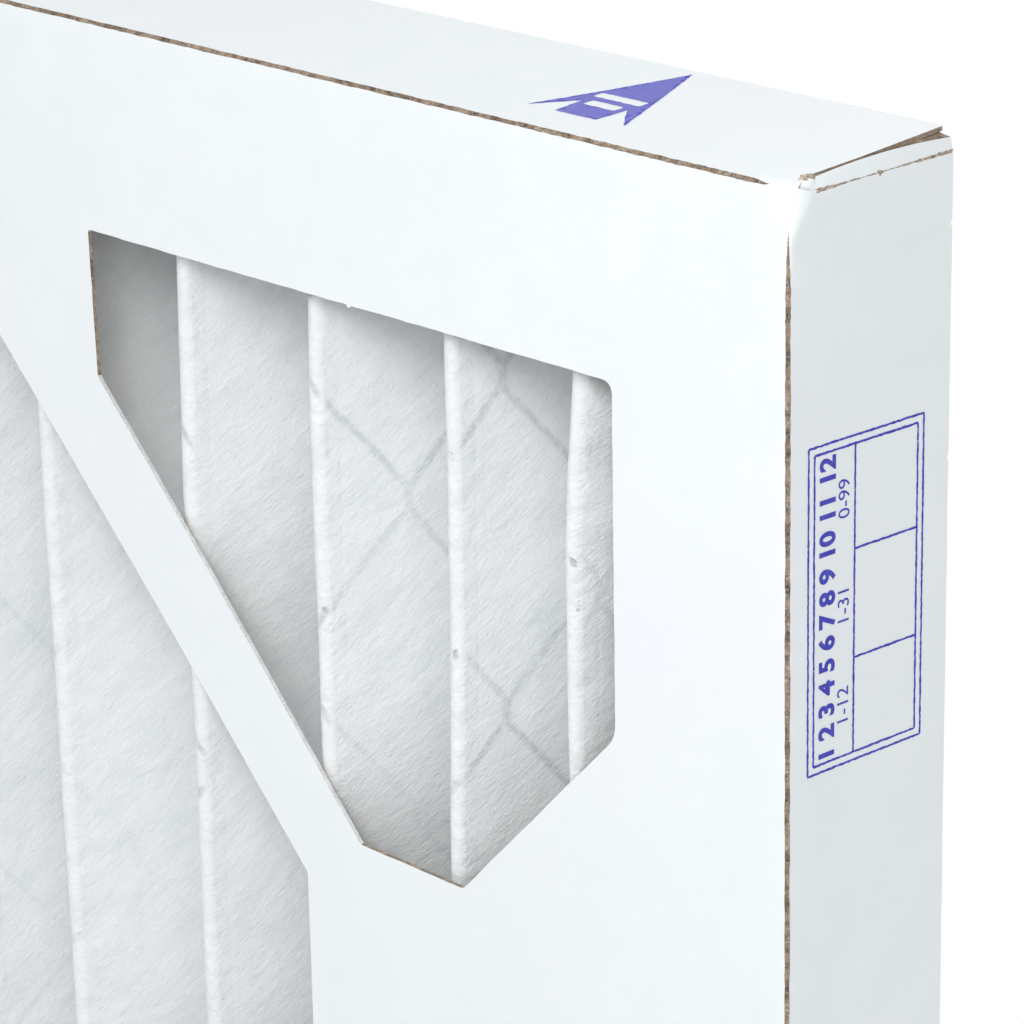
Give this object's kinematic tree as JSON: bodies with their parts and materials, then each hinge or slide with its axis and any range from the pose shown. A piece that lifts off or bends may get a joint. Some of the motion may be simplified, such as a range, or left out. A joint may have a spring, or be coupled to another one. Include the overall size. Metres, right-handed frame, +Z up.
{
  "type": "pleated panel air filter",
  "caption": "Panel filter of folded nonwoven pleats on an expanded metal grid, in a die-cut board frame with diagonal straps, for a filter rack in a duct or air handler.",
  "frame": {"origin": "middle of the footprint, at the underside of the bottom flap", "axes": "+X along the width, +Y the way the air flows, from the front (air-entering) face to the back, +Z up"},
  "size_m": [0.6224, 0.0444, 0.3967],
  "materials": {
    "coated_board": "matte",
    "nonwoven": "matte",
    "expanded_metal": "satin",
    "hot_melt": "satin"
  },
  "bodies": {
    "root": {"front_frame": "coated_board", "back_frame": "coated_board", "pleated_media": "nonwoven", "support_grid": "expanded_metal", "top_glue_bead": "hot_melt", "bottom_glue_bead": "hot_melt", "left_glue_bead": "hot_melt", "right_glue_bead": "hot_melt", "front_strap_glue": "hot_melt", "back_strap_glue": "hot_melt"}
  },
  "joints": []
}
